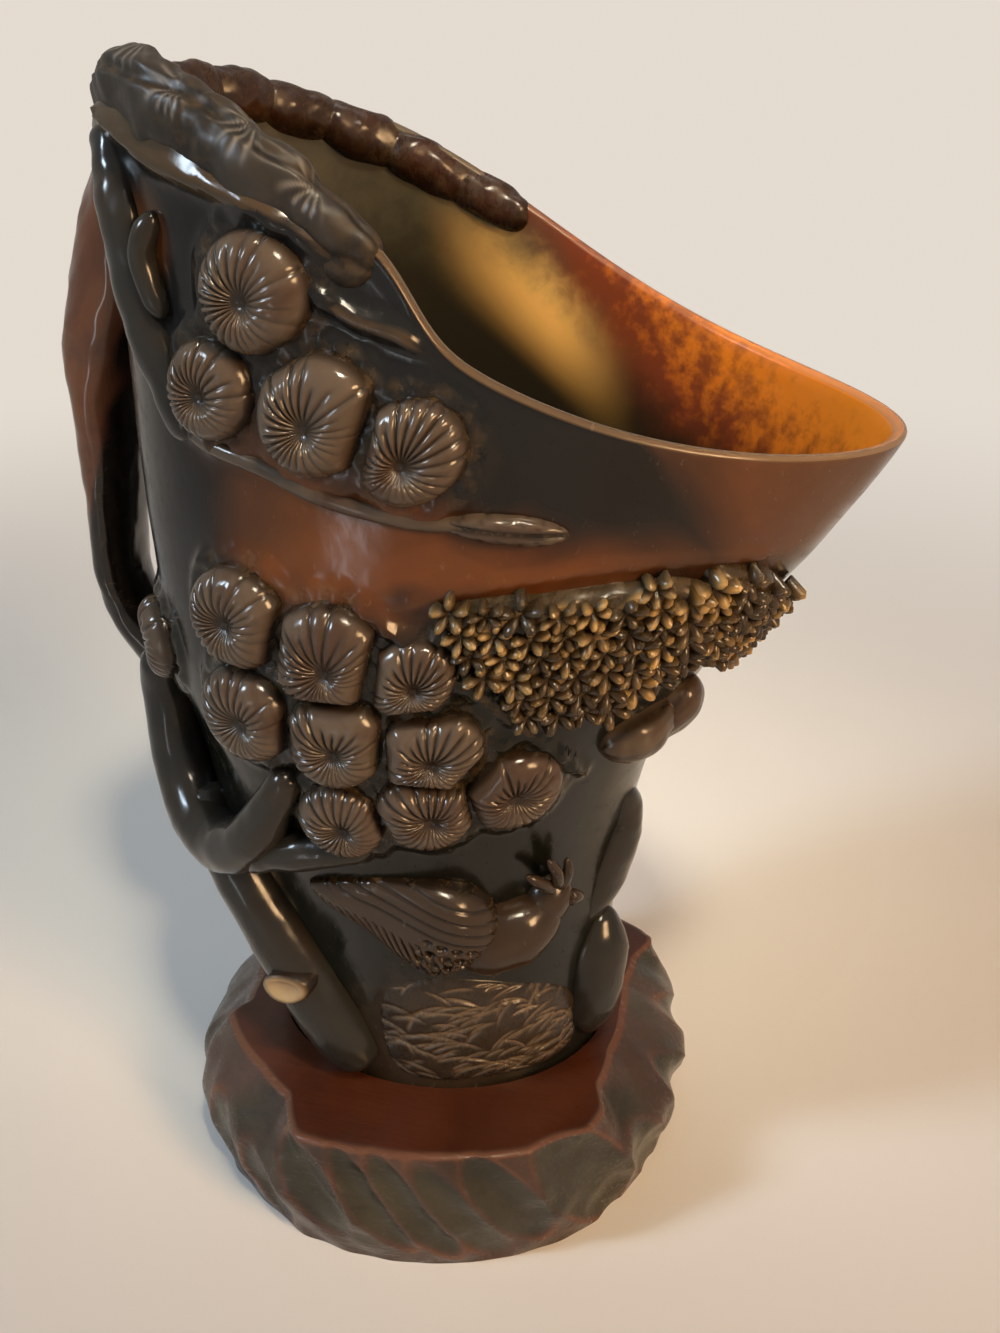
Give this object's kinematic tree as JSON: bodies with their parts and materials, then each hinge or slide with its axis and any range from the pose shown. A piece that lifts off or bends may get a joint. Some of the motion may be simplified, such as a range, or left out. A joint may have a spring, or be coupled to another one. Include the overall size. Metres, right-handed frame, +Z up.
{
  "type": "horn drinking cup",
  "caption": "Carved horn cup with a flared pouring lip, a branch handle and pine, blossom and bird relief, standing in a recess of a fluted wooden stand.",
  "frame": {"origin": "middle of the stand's flat underside", "axes": "+Z up along the cup, +X towards the pouring lip, -Y towards the carved front"},
  "size_m": [0.1379, 0.0962, 0.1915],
  "materials": {
    "polished_horn": "polished horn, amber at the lip and black towards the handle",
    "carved_horn": "dark carved horn, worn glossy on the high places",
    "red_horn": "polished reddish horn that fades to black",
    "amber_cut": "pale amber cut end of a branch",
    "stained_wood": "dark red-brown stained hardwood, satin, worn on the edges"
  },
  "bodies": {
    "stand": {"wood_stand": "stained_wood"},
    "cup": {"back_bough": "carved_horn", "back_leaf": "carved_horn", "back_rock": "carved_horn", "back_trunk": "carved_horn", "back_tuft_1": "carved_horn", "back_tuft_2": "carved_horn", "back_tuft_3": "carved_horn", "back_tuft_4": "carved_horn", "back_tuft_5": "carved_horn", "back_tuft_6": "carved_horn", "belt_tuft_1": "carved_horn", "belt_tuft_10": "carved_horn", "belt_tuft_2": "carved_horn", "belt_tuft_3": "carved_horn", "belt_tuft_4": "carved_horn", "belt_tuft_5": "carved_horn", "belt_tuft_6": "carved_horn", "belt_tuft_7": "carved_horn", "belt_tuft_8": "carved_horn", "belt_tuft_9": "carved_horn", "bird_body": "carved_horn", "bird_head": "carved_horn", "bird_tail": "carved_horn", "blossom_spray_back": "carved_horn", "blossom_spray_front": "carved_horn", "blossom_spray_spout": "carved_horn", "branch_loop": "carved_horn", "branch_stub": "amber_cut", "curled_leaf": "carved_horn", "ground_panel": "carved_horn", "handle_trunk": "red_horn", "hanging_leaf": "carved_horn", "horn_bowl": "polished_horn", "lower_trunk": "carved_horn", "rim_bough_far": "carved_horn", "rim_bough_near": "carved_horn", "rim_stem": "carved_horn", "rim_tuft_1": "carved_horn", "rim_tuft_2": "carved_horn", "rim_tuft_3": "carved_horn", "rim_tuft_4": "carved_horn", "rim_twig": "carved_horn", "rock_curl": "carved_horn"}
  },
  "joints": [
    {"name": "cup_lift", "type": "slide", "parent": "stand", "child": "cup", "axis": [0, 0, 1], "range_m": [0, 0.04]}
  ]
}
